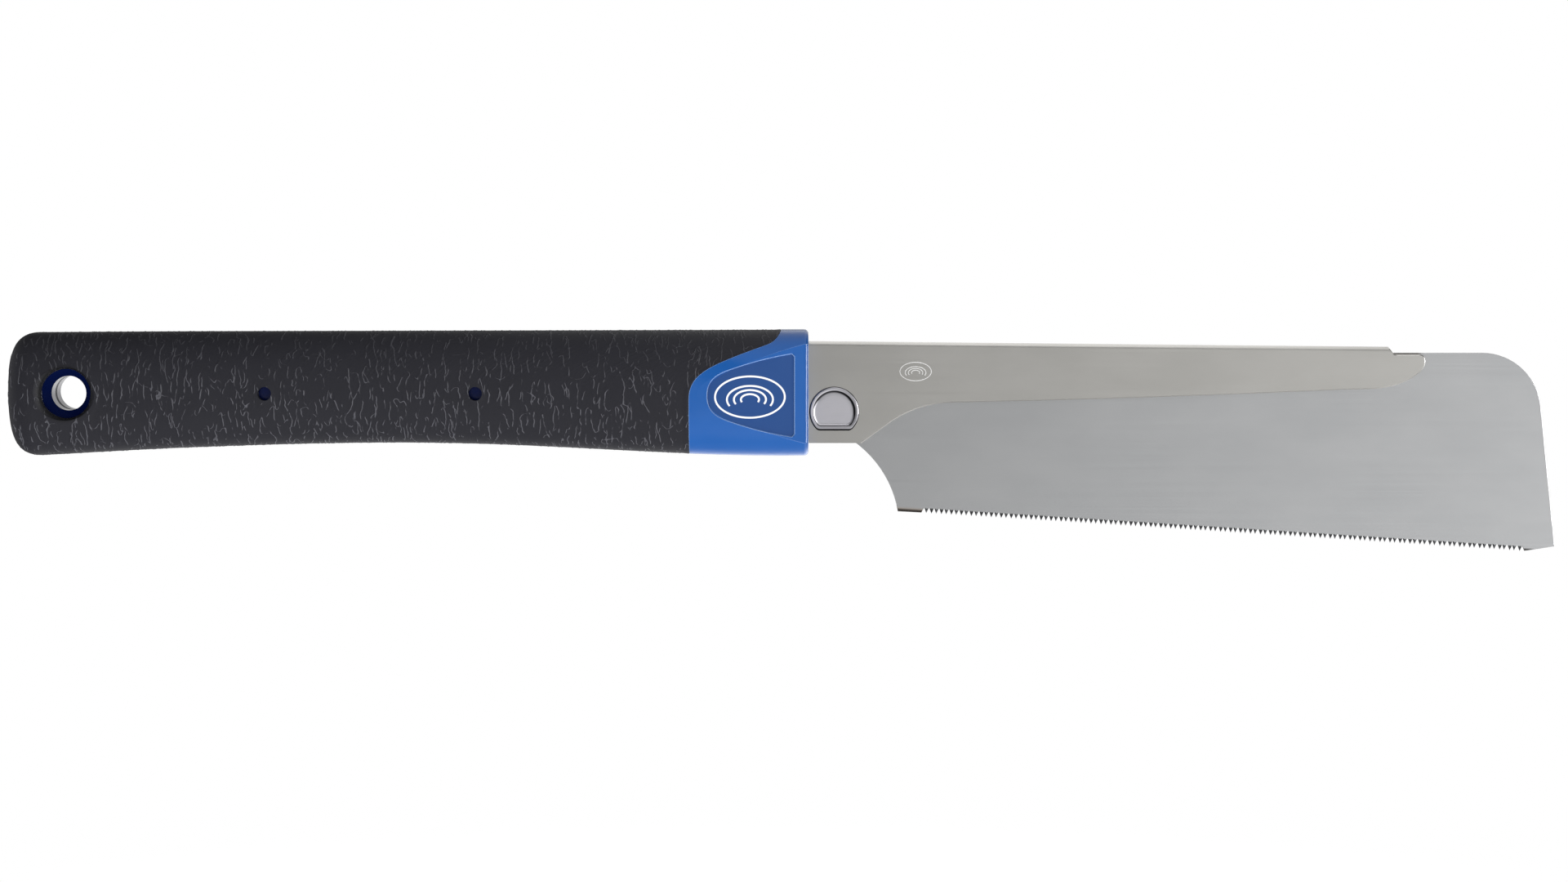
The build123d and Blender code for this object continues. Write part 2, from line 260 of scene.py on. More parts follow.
def raise_veins(grip):
    """Moves the grip's skin by the grain, with geometry nodes, away from holes and the seam."""
    tree = bpy.data.node_groups.new("leather_grain", "GeometryNodeTree")
    tree.interface.new_socket("Geometry", in_out="INPUT", socket_type="NodeSocketGeometry")
    tree.interface.new_socket("Geometry", in_out="OUTPUT", socket_type="NodeSocketGeometry")
    start = tree.nodes.new("NodeGroupInput")
    end = tree.nodes.new("NodeGroupOutput")
    position = tree.nodes.new("GeometryNodeInputPosition").outputs[0]
    normal = tree.nodes.new("GeometryNodeInputNormal").outputs[0]
    free = add_node(tree, "GeometryNodeInputNamedAttribute", {"data_type": "FLOAT"}, Name="free")
    height = maths(tree, "SUBTRACT", vein_height(tree, position), 1.0)
    height = maths(tree, "MULTIPLY", height, free.outputs["Attribute"])
    offset = add_node(tree, "ShaderNodeVectorMath", {"operation": "SCALE"})
    put(tree, offset.inputs[0], normal)
    put(tree, offset.inputs["Scale"], maths(tree, "MULTIPLY", height, VEIN_HEIGHT))
    moved = add_node(tree, "GeometryNodeSetPosition", Geometry=start.outputs[0], Offset=offset.outputs[0])
    tree.links.new(moved.outputs[0], end.inputs[0])
    grip.modifiers.new("grain", "NODES").node_group = tree
    apply_modifiers(grip)


# ---------------------------------------------------------------- grip geometry
def smooth_rows(values, reach, axis, wrap):
    """Gaussian smoothing of an array along one axis, with reach in samples."""
    half = int(math.ceil(3 * reach))
    weights = np.exp(-0.5 * (np.arange(-half, half + 1) / reach) ** 2)
    weights /= weights.sum()
    pad = [(half, half) if index == axis else (0, 0) for index in range(values.ndim)]
    padded = np.pad(values, pad, mode="wrap" if wrap else "edge")
    return np.apply_along_axis(lambda line: np.convolve(line, weights, "valid"), axis, padded)


def grip_directions():
    """Directions round the section, spaced evenly enough on its taller-than-wide form."""
    low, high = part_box("grip_cover")
    angles = np.arange(GRIP_COLUMNS) * 2 * math.pi / GRIP_COLUMNS
    across = (high.y - low.y) / 2 * np.cos(angles)
    up = (high.z - low.z) / 2 * np.sin(angles)
    reach = np.hypot(across, up)
    return across / reach, up / reach


def ray_distance(tree, origin, direction):
    """Distance from origin to the surface, looking in from outside, or None at a hole or a gap."""
    point, normal, _, _ = tree.ray_cast(origin + direction * RAY_START, -direction, RAY_START)
    if point is None or normal.dot(direction) < 0.25:
        return None
    for place, room in HOLES:
        if abs(point.y) > 2 * MM and math.hypot(point.x - place, point.z) < room + HOLE_MARGIN:
            return None
    return (point - origin).length


def seam_place(tree, direction, inside, outside):
    """Where the cover ends along a line of its surface, between two places on the axis."""
    for _ in range(12):
        middle = (inside + outside) / 2
        if ray_distance(tree, Vector((middle, 0, 0)), direction) is None:
            outside = middle
        else:
            inside = middle
    return inside


def grip_columns():
    """Outer skin of the cover as lines of points from the butt's middle to the seam."""
    tree = surface_tree(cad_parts["grip_cover"])
    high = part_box("grip_cover")[1]
    places = np.arange(BUTT_CENTRE, high.x, GRIP_STEP)
    turns = np.linspace(0.0, math.pi / 2, BUTT_RAYS, endpoint=False)
    rays = [(BUTT_CENTRE, -math.cos(turn), math.sin(turn)) for turn in turns]
    rays += [(place, 0.0, 1.0) for place in places]
    across, up = grip_directions()
    distance = np.full((len(rays), GRIP_COLUMNS), np.nan)
    ends = []
    for column in range(GRIP_COLUMNS):
        out = Vector((0, across[column], up[column]))
        for row, (place, along, outward) in enumerate(rays):
            direction = Vector((along, 0, 0)) + outward * out
            found = ray_distance(tree, Vector((place, 0, 0)), direction)
            if found is not None:
                distance[row, column] = found
        last = np.flatnonzero(np.isfinite(distance[:, column]))[-1]
        ends.append(seam_place(tree, out, rays[last][0], rays[last][0] + GRIP_STEP))
        known = np.flatnonzero(np.isfinite(distance[:, column]))
        distance[:, column] = np.interp(np.arange(len(rays)), known, distance[known, column])
    distance = smooth_rows(distance, 4.5, 0, wrap=False)
    distance = smooth_rows(distance, 1.1, 1, wrap=True)
    lines = []
    starts = np.array([ray[0] for ray in rays])
    along = np.array([ray[1] for ray in rays])
    outward = np.array([ray[2] for ray in rays])
    for column in range(GRIP_COLUMNS):
        reach = distance[:, column]
        line = np.stack([
            starts + along * reach,
            outward * across[column] * reach,
            outward * up[column] * reach,
        ], axis=1)
        keep = starts <= ends[column]
        line = line[keep]
        edge = np.array([ends[column], across[column], up[column]])
        edge[1:] *= np.interp(ends[column], starts[BUTT_RAYS:], reach[BUTT_RAYS:])
        lines.append(np.vstack([line, edge]))
    return lines


def even_line(line, fractions):
    """A line of points resampled at fractions of its length."""
    steps = np.linalg.norm(np.diff(line, axis=0), axis=1)
    run = np.concatenate([[0.0], np.cumsum(steps)])
    return np.stack([np.interp(fractions * run[-1], run, line[:, axis]) for axis in range(3)], axis=1)


def grid_normals(grid):
    """Outward unit normals of a grid of points that is closed round its second axis."""
    along = np.gradient(grid, axis=0)
    padded = np.concatenate([grid[:, -1:], grid, grid[:, :1]], axis=1)
    around = (padded[:, 2:] - padded[:, :-2]) / 2
    normals = np.cross(around, along)
    length = np.linalg.norm(normals, axis=2, keepdims=True)
    normals = normals / np.maximum(length, 1e-12)
    outward = np.sign((normals[len(grid) // 2] * grid[len(grid) // 2])[:, 1:].sum())
    return normals * outward


def grip_shell():
    """The soft cover as a closed shell, before its holes are cut."""
    lines = grip_columns()
    longest = max(np.linalg.norm(np.diff(line, axis=0), axis=1).sum() for line in lines)
    lip = LIP_RADIUS / longest
    fractions = np.linspace(0.0, 1.0 - lip, GRIP_ROWS + 1)[1:]
    grid = np.stack([even_line(line, fractions) for line in lines], axis=1)
    edge = np.stack([line[-1] for line in lines])
    normals = grid_normals(grid)
    out = normals[-1]
    forward = edge - grid[-1]
    rolled = []
    for step in range(1, LIP_STEPS + 1):
        turn = math.pi / 2 * step / LIP_STEPS
        rolled.append(grid[-1] + forward * math.sin(turn) - out * LIP_RADIUS * (1 - math.cos(turn)))
    wall = [edge - out * depth for depth in (LIP_RADIUS + 0.7 * MM, COVER_WALL)]
    inner = [grid[row] - normals[row] * COVER_WALL for row in range(GRIP_ROWS - 8, 40, -INNER_ROW_STEP)]
    rings = list(grid) + rolled + wall + inner
    outer_pole = np.array([[line[0][0] for line in lines]]).mean()
    points = np.concatenate(rings + [
        np.array([[outer_pole, 0, 0]]),
        np.array([[outer_pole + COVER_WALL, 0, 0]]),
    ])
    count = GRIP_COLUMNS
    faces = []
    for ring in range(len(rings) - 1):
        for column in range(count):
            after = (column + 1) % count
            a = ring * count
            b = a + count
            faces.append((a + column, a + after, b + after, b + column))
    pole = len(rings) * count
    last = (len(rings) - 1) * count
    for column in range(count):
        after = (column + 1) % count
        faces.append((pole, after, column))
        faces.append((pole + 1, last + column, last + after))
    shell = mesh_object("grip_cover_skin", points, faces)
    free = np.zeros(len(points), np.float32)
    rows = np.arange(GRIP_ROWS)
    fade = np.clip((GRIP_ROWS - 2 - rows) / GRAIN_FADE_ROWS, 0.0, 1.0)
    free[: GRIP_ROWS * count] = np.repeat(fade, count)
    free[pole] = 1.0
    for place, room in HOLES:
        away = np.hypot(points[:, 0] - place, points[:, 2]) - room
        free *= np.clip(away / GRAIN_MARGIN, 0.0, 1.0).astype(np.float32)
    attribute = shell.data.attributes.new("free", "FLOAT", "POINT")
    attribute.data.foreach_set("value", free)
    return shell


def lathe(name, profile, place, steps=96):
    """Closed solid turned about a line along Y, from (radius, y) points from end to end."""
    points, faces = [], []
    for radius, y in profile:
        for step in range(steps):
            turn = 2 * math.pi * step / steps
            points.append((place + radius * math.cos(turn), y, radius * math.sin(turn)))
    for ring in range(len(profile) - 1):
        for step in range(steps):
            after = (step + 1) % steps
            a, b = ring * steps, (ring + 1) * steps
            faces.append((a + step, b + step, b + after, a + after))
    faces.append(tuple(range(steps)))
    faces.append(tuple((len(profile) - 1) * steps + step for step in reversed(range(steps))))
    return mesh_object(name, points, faces)


def cut(piece, cutter):
    """Cuts a closed solid out of a piece."""
    modifier = piece.modifiers.new("cut", "BOOLEAN")
    modifier.operation = "DIFFERENCE"
    modifier.solver = "EXACT"
    modifier.object = cutter
    apply_modifiers(piece)
    mesh = cutter.data
    bpy.data.objects.remove(cutter)
    bpy.data.meshes.remove(mesh)


def keep_inside(made):
    """Moves the few vertices that lie past the CAD model's box back to it."""
    mesh = made.data
    spots = np.empty(len(mesh.vertices) * 3, np.float32)
    mesh.vertices.foreach_get("co", spots)
    inside = np.clip(spots.reshape(-1, 3), np.array(cad_low), np.array(cad_high))
    mesh.vertices.foreach_set("co", inside.astype(np.float32).ravel())
    mesh.update()


def hang_profile(skin_y):
    """Trumpet mouths of the hang hole on both sides, as (radius, y)."""
    side = [(HANG_MOUTH, skin_y - HANG_FLARE)]
    for step in range(1, 8):
        turn = math.radians(82) * step / 7
        flared = HANG_MOUTH + HANG_FLARE * (1 - math.cos(turn))
        side.append((flared, skin_y - HANG_FLARE * (1 - math.sin(turn))))
    side.append((HANG_MOUTH + HANG_FLARE * 1.3, skin_y + 1 * MM))
    return [(radius, -y) for radius, y in reversed(side)] + side


def make_grip(material):
    """The soft cover, with its holes and leather grain."""
    shell = grip_shell()
    skin = surface_tree(shell)
    skin_y = skin.ray_cast(Vector((0, RAY_START, 0)), Vector((0, -1, 0)))[0].y
    cut(shell, lathe("hang_cutter", hang_profile(skin_y), 0.0))
    for place in LOCATING_PLACES:
        reach = RAY_START / 2
        cut(shell, lathe("locating_cutter", [(LOCATING_RADIUS, -reach), (LOCATING_RADIUS, reach)], place, 40))
    raise_veins(shell)
    keep_inside(shell)
    sharpen(shell, 42)
    shell.data.materials.clear()
    shell.data.materials.append(material)
    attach(shell, "handle")
    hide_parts("grip_cover")
    return shell


# ---------------------------------------------------------------- blade geometry
TOOTH_BEVEL = 0.27 * MM      # how far a tooth's flank leans across the blade
TOOTH_TOP_BEVEL = 0.50 * MM
TOOTH_SET = 0.08 * MM
PLATE_BEVEL = 0.06 * MM


def plate_outline(node):
    """Outline of a CAD plate's near face, in order, as an array of (x, z)."""
    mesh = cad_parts[node].data
    nearest = min(vertex.co.y for vertex in mesh.vertices)
    seen = {}
    for face in mesh.polygons:
        if face.normal.y > -0.99 or abs(face.center.y - nearest) > 1e-6:
            continue
        keys = [tuple(round(c, 7) for c in mesh.vertices[v].co.xz) for v in face.vertices]
        for start, end in zip(keys, keys[1:] + keys[:1]):
            if (end, start) in seen:
                del seen[(end, start)]
            else:
                seen[(start, end)] = True
    follow = dict(seen.keys())
    point = next(iter(follow))
    outline = [point]
    while follow[point] != outline[0]:
        point = follow[point]
        outline.append(point)
    return np.array(outline)


def make_blade(material):
    """The blade, with bevelled and set teeth where the CAD plate has plain ones."""
    outline = plate_outline("saw_blade")
    count = len(outline)
    low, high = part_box("saw_blade")
    before = np.roll(outline, 1, axis=0)
    after = np.roll(outline, -1, axis=0)
    tips = (before[:, 1] - outline[:, 1] > 0.6 * MM) & (after[:, 1] - outline[:, 1] > 0.6 * MM)
    near = np.roll(tips, 1) | np.roll(tips, -1)
    chord = after - before
    chord /= np.maximum(np.linalg.norm(chord, axis=1, keepdims=True), 1e-12)
    inward = np.stack([-chord[:, 1], chord[:, 0]], axis=1)
    area = 0.5 * np.sum(outline[:, 0] * after[:, 1] - after[:, 0] * outline[:, 1])
    inward *= math.copysign(1.0, area)
    front = outline + inward * PLATE_BEVEL
    back = front.copy()
    toothed = tips | near
    front[toothed] = outline[toothed]
    back[toothed] = outline[toothed]
    front_y = np.full(count, low.y)
    back_y = np.full(count, high.y)
    for number, tip in enumerate(np.flatnonzero(tips)):
        left, right = (tip - 1) % count, (tip + 1) % count
        bevelled = back if number % 2 else front
        base = outline[right] - outline[left]
        base /= np.linalg.norm(base)
        rise = (outline[left] + outline[right]) / 2 - outline[tip]
        rise /= np.linalg.norm(rise)
        bevelled[left] = outline[left] + base * TOOTH_BEVEL
        bevelled[right] = outline[right] - base * TOOTH_BEVEL
        bevelled[tip] = outline[tip] + rise * TOOTH_TOP_BEVEL
        lean = -TOOTH_SET if number % 2 else TOOTH_SET
        front_y[tip] += lean
        back_y[tip] += lean
    inner = np.where(toothed, 0.0, PLATE_BEVEL)
    rows = [
        (front, front_y),
        (np.where(toothed[:, None], front, outline), front_y + inner),
        (np.where(toothed[:, None], back, outline), back_y - inner),
        (back, back_y),
    ]
    points = np.concatenate([np.stack([flat[:, 0], y, flat[:, 1]], axis=1) for flat, y in rows])
    faces = []
    for row in range(3):
        for index in range(count):
            following = (index + 1) % count
            a, b = row * count, (row + 1) * count
            faces.append((a + index, a + following, b + following, b + index))
    plate = [index for index in range(count) if not tips[index]]
    last = 3 * count
    faces.append(tuple(reversed(plate)))
    faces.append(tuple(last + index for index in plate))
    for tip in np.flatnonzero(tips):
        left, right = int(tip - 1) % count, int(tip + 1) % count
        faces.append((right, int(tip), left))
        faces.append((last + left, last + int(tip), last + right))
    mesh = bpy.data.meshes.new("saw_blade_plate")
    mesh.from_pydata([tuple(point) for point in points], [], faces)
    blade = bpy.data.objects.new("saw_blade_plate", mesh)
    bpy.context.scene.collection.objects.link(blade)
    work = bmesh.new()
    work.from_mesh(mesh)
    bmesh.ops.remove_doubles(work, verts=work.verts, dist=1e-6)
    bmesh.ops.dissolve_degenerate(work, edges=work.edges, dist=1e-7)
    bmesh.ops.triangulate(work, faces=[face for face in work.faces if len(face.verts) > 4])
    bmesh.ops.recalc_face_normals(work, faces=work.faces)
    work.to_mesh(mesh)
    work.free()
    mesh.materials.append(material)
    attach(blade, "blade")
    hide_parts("saw_blade")
    return blade


# ---------------------------------------------------------------- hook pin geometry
PIN_PLACE = (189.93 * MM, -4.82 * MM)
CHEEK_Y = 1.1 * MM
PIN_SHAFT = (5.0, 3.16, 1.0)             # radius, drop of the flat below the centre, corner, in mm
PIN_SINK = 0.02                          # mm that the flange's foot stands in the cheek

# Rows of the pin's head from the foot of its flange to the floor of its dish, in mm: radius, drop of the
# flat, corner, height over the cheek, and how dark it is at the top and at the bottom. The darkness is
# painted shade (painted highlight below 0), and the first rows make a skirt of painted shadow round the
# flange's foot.
PIN_ROWS = [
    (6.24, 4.72, 1.50, -PIN_SINK, 1.0, 1.0),
    (6.24, 4.72, 1.50, 0.012, 1.0, 1.0),
    (6.11, 4.42, 1.42, 0.016, 1.0, 1.0),
    (6.10, 4.40, 1.40, 0.17, 0.60, 1.0),
    (6.04, 4.34, 1.38, 0.26, 0.50, 1.0),
    (5.92, 4.22, 1.34, 0.30, 0.30, 0.50),
    (5.84, 4.14, 1.32, 0.30, 0.28, 0.25),
    (5.36, 3.62, 1.14, 0.30, 0.28, 0.20),
    (5.24, 3.48, 1.10, 0.27, 1.0, 1.0),
    (5.02, 3.24, 1.06, 0.13, 1.0, 0.20),
    (4.86, 3.08, 1.02, 0.08, 0.8, -0.5),
    (4.60, 2.84, 0.96, 0.08, 0.3, 0.0),
    (3.60, 2.10, 0.80, 0.08, 0.0, 0.0),
]
DARK_FROM = (0.35, 0.94)                 # "top" above leans this way, as (x, z)
PIN_ROUND_POINTS = 73
PIN_CORNER_POINTS = 10


def pin_outline(radius, flat, corner):
    """Points round a D with its flat below, from its centre, as an array of (x, z)."""
    side = math.sqrt((radius - corner) ** 2 - (flat - corner) ** 2)
    start = math.atan2(corner - flat, side)
    turns = np.linspace(start, math.pi - start, PIN_ROUND_POINTS)
    points = [(radius * math.cos(turn), radius * math.sin(turn)) for turn in turns]
    corners = ((-side, math.pi - start, 1.5 * math.pi), (side, 1.5 * math.pi, 2 * math.pi + start))
    for centre, first, last in corners:
        for turn in np.linspace(first, last, PIN_CORNER_POINTS):
            points.append((centre + corner * math.cos(turn), corner - flat + corner * math.sin(turn)))
    # The corners' outer ends repeat the two ends of the round side
    return np.array(points[:PIN_ROUND_POINTS] + points[PIN_ROUND_POINTS + 1:-1])


def make_pin(material):
    """The hook pin: a D-shaped shaft with a dished, flanged head on each cheek."""
    x, z = PIN_PLACE
    rows = []
    shades = []
    for radius, flat, corner, rise, top, bottom in reversed(PIN_ROWS):
        outline = pin_outline(radius, flat, corner)
        unit = outline / np.linalg.norm(outline, axis=1, keepdims=True)
        lean = np.clip(0.5 + 1.6 * (unit @ np.array(DARK_FROM)), 0.0, 1.0)
        rows.append((outline, rise))
        shades.append(bottom + (top - bottom) * lean)
    rows.append((pin_outline(*PIN_SHAFT), -PIN_SINK))
    shades.append(np.ones(len(rows[-1][0])))
    count = len(rows[0][0])
    rings = [(outline, -CHEEK_Y - rise * MM) for outline, rise in rows]
    rings += [(outline, CHEEK_Y + rise * MM) for outline, rise in reversed(rows)]
    points = []
    for outline, y in rings:
        points += [(x + across * MM, y, z + up * MM) for across, up in outline]
    faces = [tuple(range(count)), tuple((len(rings) - 1) * count + index for index in reversed(range(count)))]
    for ring in range(len(rings) - 1):
        for index in range(count):
            after = (index + 1) % count
            a, b = ring * count, (ring + 1) * count
            faces.append((a + index, b + index, b + after, a + after))
    pin = mesh_object("hook_pin_head", points, faces)
    shade = pin.data.attributes.new("shade", "FLOAT", "POINT")
    shade.data.foreach_set("value", np.concatenate(shades + shades[::-1]).astype(np.float32))
    sharpen(pin, 40)
    pin.data.materials.append(material)
    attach(pin, "handle")
    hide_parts("hook_pin")


# ---------------------------------------------------------------- emblem
EMBLEM_ARCS = (0.26, 0.46, 0.66)         # sizes of the growth rings in the oval
RING_STEPS = 96
ARC_STEPS = 32
ARC_START = -28                          # degrees
ARC_SWEEP = 236                          # degrees
ARC_DROP = 0.12                          # of the arcs below the oval's middle, in half heights
PRINT = {
    "place": (169.0 * MM, -0.8 * MM),
    "half": (8.6 * MM, 5.1 * MM),
    "line": 0.46 * MM,
    "proud": 0.03 * MM,
}
ETCH = {
    "place": (210.2 * MM, 5.2 * MM),
    "half": (3.9 * MM, 2.3 * MM),
    "line": 0.17 * MM,
    "proud": 0.006 * MM,
}


def strip_on_surface(tree, path, closed, side, line, proud):
    """Thin raised line along a path of (x, z) points, laid on a surface that faces a side."""
    path = np.array(path)
    if closed:
        ahead = np.roll(path, -1, axis=0) - np.roll(path, 1, axis=0)
    else:
        ahead = np.gradient(path, axis=0)
    ahead /= np.linalg.norm(ahead, axis=1, keepdims=True)
    across = np.stack([-ahead[:, 1], ahead[:, 0]], axis=1) * line / 2
    points = []
    for spot, reach in zip(path, across):
        for edge, lift in ((-1, -0.2), (-1, 1), (1, 1), (1, -0.2)):
            x, z = spot + edge * reach
            hit = tree.ray_cast(Vector((x, side * RAY_START, z)), Vector((0, -side, 0)))[0]
            points.append((x, hit.y + side * lift * proud, z))
    count = len(path)
    faces = []
    for index in range(count if closed else count - 1):
        after = (index + 1) % count
        for corner in range(4):
            other = (corner + 1) % 4
            faces.append((4 * index + corner, 4 * index + other, 4 * after + other, 4 * after + corner))
    if not closed:
        faces.append((3, 2, 1, 0))
        faces.append(tuple(4 * (count - 1) + corner for corner in range(4)))
    return points, faces


def emblem_paths(place, half):
    """A plain oval ring round arcs like a log's growth rings."""
    x, z = place
    ring = []
    for step in range(RING_STEPS):
        turn = 2 * math.pi * step / RING_STEPS
        ring.append((x + half[0] * math.cos(turn), z + half[1] * math.sin(turn)))
    paths = [(ring, True)]
    for size in EMBLEM_ARCS:
        arc = []
        for step in range(ARC_STEPS + 1):
            turn = math.radians(ARC_START + ARC_SWEEP * step / ARC_STEPS)
            across = size * half[0] * math.cos(turn)
            arc.append((x + across, z + half[1] * (size * math.sin(turn) - ARC_DROP)))
        paths.append((arc, False))
    return paths


def make_emblems(name, node, design, material):
    """The emblem on each side of a node."""
    tree = surface_tree(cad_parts[node])
    for side, ending in ((-1, "near"), (1, "far")):
        points, faces = [], []
        for path, closed in emblem_paths(design["place"], design["half"]):
            made = strip_on_surface(tree, path, closed, side, design["line"], design["proud"])
            faces += [tuple(len(points) + index for index in face) for face in made[1]]
            points += made[0]
        emblem = mesh_object(name + ending, points, faces, smooth=False)
        work = bmesh.new()
        work.from_mesh(emblem.data)
        bmesh.ops.recalc_face_normals(work, faces=work.faces)
        work.to_mesh(emblem.data)
        work.free()
        emblem.data.materials.append(material)
        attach(emblem, "handle")


# ---------------------------------------------------------------- materials
PANEL_NOSE = 158.4 * MM
PANEL_FRONT = 180.0 * MM
PANEL_LENGTH = PANEL_FRONT - PANEL_NOSE
PANEL_POWER = 0.37                       # of the panel's outline, from its nose
PANEL_HALF_HEIGHT = 10.3 * MM
PANEL_MIDDLE_Z = -0.45 * MM
FIRST_TIP = (213.0 * MM, -30.3 * MM)
TOOTH_SLOPE = -math.tan(math.radians(3.65))
LAST_TIP_X = 361.5 * MM
TOE_LAND_END = 364.0 * MM
COVERED_X = 150.0 * MM                   # behind this the core shows only in the cover's holes
VEINS_FULL_Z = -2.0 * MM                 # the veins' lighter colour, partly wear and partly painted highlight, shows fully up to here and fades above it as painted shade
VEINS_FAINT_Z = 12.5 * MM


def rubber_material():
    """Black elastomer with a raised leather grain whose veins are lighter, partly from wear and partly as a
    painted highlight that fades towards the top, and with painted shade where it turns in to the hang hole.
    """
    material, tree, shader, position = new_material("grip_rubber")
    height = add_node(tree, "ShaderNodeSeparateXYZ", Vector=position).outputs["Z"]
    veins = vein_height(tree, position)
    clouds = noise_at(tree, scaled(tree, position, 14.0, 9.0, 9.0), detail=3.0)
    grain = noise_at(tree, scaled(tree, position, 0.30, 0.34, 0.34), detail=3.0, roughness=0.6)
    base = mix(tree, clouds, (0.0075, 0.0075, 0.0118, 1), (0.0110, 0.0110, 0.0165, 1))
    base = mix(tree, ramp(tree, grain, 0.45, 0.75, 0.0, 0.5), base, (0.0165, 0.0165, 0.0225, 1))
    # Lighter veins: partly wear and partly a painted highlight, faded towards the top as painted shade.
    shown = maths(tree, "MULTIPLY", veins, ramp(tree, height, VEINS_FAINT_Z, VEINS_FULL_Z, 0.35, 1.0))
    base = mix(tree, shown, base, (0.076, 0.076, 0.090, 1))
    across = vector_maths(tree, "MULTIPLY", position, (1.0, 0.0, 1.0))
    radius = add_node(tree, "ShaderNodeVectorMath", {"operation": "LENGTH"}, Vector=across).outputs["Value"]
    # Painted shade: the skin turns near black where it rounds in to the hang hole's mouth.
    hole_painted_shade = ramp(tree, radius, HANG_MOUTH + 1.5 * MM, HANG_MOUTH - 0.2 * MM)
    base = mix(tree, hole_painted_shade, base, (0.0010, 0.0010, 0.0013, 1))
    put(tree, shader.inputs["Base Color"], base)
    rough = ramp(tree, grain, 0.3, 0.7, 0.60, 0.72)
    rough = maths(tree, "SUBTRACT", rough, maths(tree, "MULTIPLY", veins, 0.12))
    put(tree, shader.inputs["Roughness"], rough)
    shader.inputs["Specular IOR Level"].default_value = 0.30
    coarse = bump(tree, veins, 0.07 * MM)
    put(tree, shader.inputs["Normal"], bump(tree, grain, 0.016 * MM, normal=coarse))
    return material


def panel_mask(tree, parts):
    """1 on the recessed pointed panel of the collar and 0 outside it."""
    along = maths(tree, "DIVIDE", maths(tree, "SUBTRACT", parts["X"], PANEL_NOSE), PANEL_LENGTH, clamp=True)
    half = maths(tree, "MULTIPLY", maths(tree, "POWER", along, PANEL_POWER), PANEL_HALF_HEIGHT)
    away = maths(tree, "ABSOLUTE", maths(tree, "SUBTRACT", parts["Z"], PANEL_MIDDLE_Z))
    inside = ramp(tree, maths(tree, "SUBTRACT", half, away), 0.0, 0.15 * MM)
    return maths(tree, "MULTIPLY", inside, ramp(tree, parts["X"], PANEL_FRONT, PANEL_FRONT - 0.15 * MM))


def collar_material():
    """Semi-gloss moulded blue plastic: darker on the panel, with painted navy shade where the core shows
    inside the cover, and painted highlight lines on its edges.
    """
    material, tree, shader, position = new_material("core_blue_plastic")
    parts = add_node(tree, "ShaderNodeSeparateXYZ", Vector=position).outputs
    clouds = noise_at(tree, scaled(tree, position, 9.0, 9.0, 9.0), detail=2.0)
    grain = noise_at(tree, scaled(tree, position, 0.25, 0.25, 0.25), detail=2.0)
    edges = edge_mask(tree, 0.28 * MM)
    panel = panel_mask(tree, parts)
    base = mix(tree, clouds, (0.0070, 0.086, 0.330, 1), (0.0090, 0.096, 0.365, 1))
    base = mix(tree, maths(tree, "MULTIPLY", panel, 0.80), base, (0.004, 0.042, 0.172, 1))
    # Painted highlight: pale lines along the sharp edges, standing in for the light their rounding catches.
    base = mix(tree, maths(tree, "MULTIPLY", edges, 0.85), base, (0.34, 0.52, 0.88, 1))
    # Painted shade: the core turns near-black navy behind COVERED_X, where it shows only deep in the cover's
    # holes.
    covered = ramp(tree, parts["X"], COVERED_X + 0.6 * MM, COVERED_X)
    base = mix(tree, covered, base, (0.002, 0.006, 0.045, 1))
    middle = ramp(tree, maths(tree, "ABSOLUTE", parts["Y"]), 1.3 * MM, 0.7 * MM)
    parting = maths(tree, "MULTIPLY", middle, covered)
    base = mix(tree, parting, base, (0.001, 0.002, 0.010, 1))
    put(tree, shader.inputs["Base Color"], base)
    rough = ramp(tree, clouds, 0.3, 0.7, 0.17, 0.23)
    rough = maths(tree, "ADD", rough, maths(tree, "MULTIPLY", panel, 0.14))
    rough = maths(tree, "SUBTRACT", rough, maths(tree, "MULTIPLY", covered, 0.10))
    put(tree, shader.inputs["Roughness"], maths(tree, "ADD", rough, maths(tree, "MULTIPLY", parting, 0.45)))
    shader.inputs["Specular IOR Level"].default_value = 0.30
    rounded = add_node(tree, "ShaderNodeBevel", {"samples": 6}, Radius=0.22 * MM).outputs[0]
    put(tree, shader.inputs["Normal"], bump(tree, grain, 0.004 * MM, normal=rounded))
    return material


def print_material():
    """White pad print, slightly uneven."""
    material, tree, shader, position = new_material("white_print")
    patches = noise_at(tree, scaled(tree, position, 0.5, 0.5, 0.5), detail=3.0)
    base = mix(tree, patches, (0.80, 0.82, 0.84, 1), (0.92, 0.93, 0.94, 1))
    put(tree, shader.inputs["Base Color"], base)
    put(tree, shader.inputs["Roughness"], ramp(tree, patches, 0.3, 0.7, 0.35, 0.5))
    put(tree, shader.inputs["Normal"], bump(tree, patches, 0.004 * MM))
    return material


